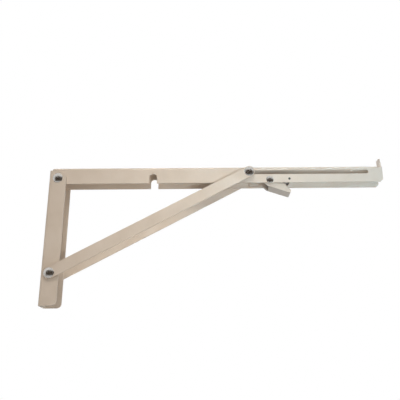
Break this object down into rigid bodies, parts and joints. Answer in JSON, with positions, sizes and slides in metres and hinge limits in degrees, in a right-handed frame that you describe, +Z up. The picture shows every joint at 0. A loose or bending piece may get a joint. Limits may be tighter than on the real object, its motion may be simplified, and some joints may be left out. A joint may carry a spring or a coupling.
{
  "type": "folding shelf bracket",
  "caption": "Folding shelf bracket: a wall arm and a slotted shelf arm held square by a sliding brace, with a sprung release lever that lets the shelf fold flat.",
  "frame": {"origin": "centre of the wall screw holes on the face that lies against the wall", "axes": "+X out from the wall along the open shelf arm, +Z up, +Y across the bracket"},
  "size_m": [0.4, 0.0374, 0.1728],
  "materials": {
    "powder_coat_shelf_arm": "off-white powder coat, satin",
    "powder_coat_wall_arm": "off-white powder coat, satin",
    "powder_coat_bars": "off-white powder coat, satin",
    "powder_coat_lever": "off-white powder coat, satin",
    "bright_rivet": "polished",
    "zinc": "zinc plated",
    "spring_steel": "drawn wire"
  },
  "bodies": {
    "wall_side": {"wall_arm": "powder_coat_wall_arm", "corner_rivet": "bright_rivet", "corner_sleeve": "zinc", "foot_rivet": "bright_rivet", "foot_sleeve": "zinc", "foot_washer_left": "zinc", "foot_washer_right": "zinc"},
    "shelf_side": {"shelf_arm": "powder_coat_shelf_arm", "lever_rivet": "bright_rivet", "lever_sleeve": "zinc", "spring_pin": "zinc", "lever_spring": "spring_steel"},
    "brace": {"brace_bar_left": "powder_coat_bars", "brace_bar_right": "powder_coat_bars", "slide_rivet_end_left": "bright_rivet", "slide_rivet_end_right": "bright_rivet"},
    "slider": {"slide_pin": "bright_rivet", "slide_bush_left": "zinc", "slide_bush_right": "zinc"},
    "lever": {"release_lever": "powder_coat_lever"}
  },
  "joints": [
    {"name": "shelf_fold", "type": "hinge", "parent": "wall_side", "child": "shelf_side", "pos_m": [0.01, 0, 0.08], "axis": [0, 1, 0], "range_deg": [0, 90]},
    {"name": "brace_fold", "type": "hinge", "parent": "wall_side", "child": "brace", "pos_m": [0.01, 0, -0.0325], "axis": [0, 1, 0], "range_deg": [0, 117]},
    {"name": "pin_slide", "type": "slide", "parent": "shelf_side", "child": "slider", "axis": [1, 0, 0], "range_m": [0, 0.1415]},
    {"name": "lever_press", "type": "hinge", "parent": "shelf_side", "child": "lever", "pos_m": [0.26198, 0, 0.0765], "axis": [0, -1, 0], "range_deg": [0, 15], "stiffness_Nm_per_rad": 0.3, "springref_deg": -8.59, "deforming": ["lever_spring"]}
  ],
  "couplings": [
    {"joint": "brace_fold", "follows": "shelf_fold", "ratio": 1.2914},
    {"joint": "pin_slide", "follows": "shelf_fold", "m_per_rad": 0.089991}
  ]
}
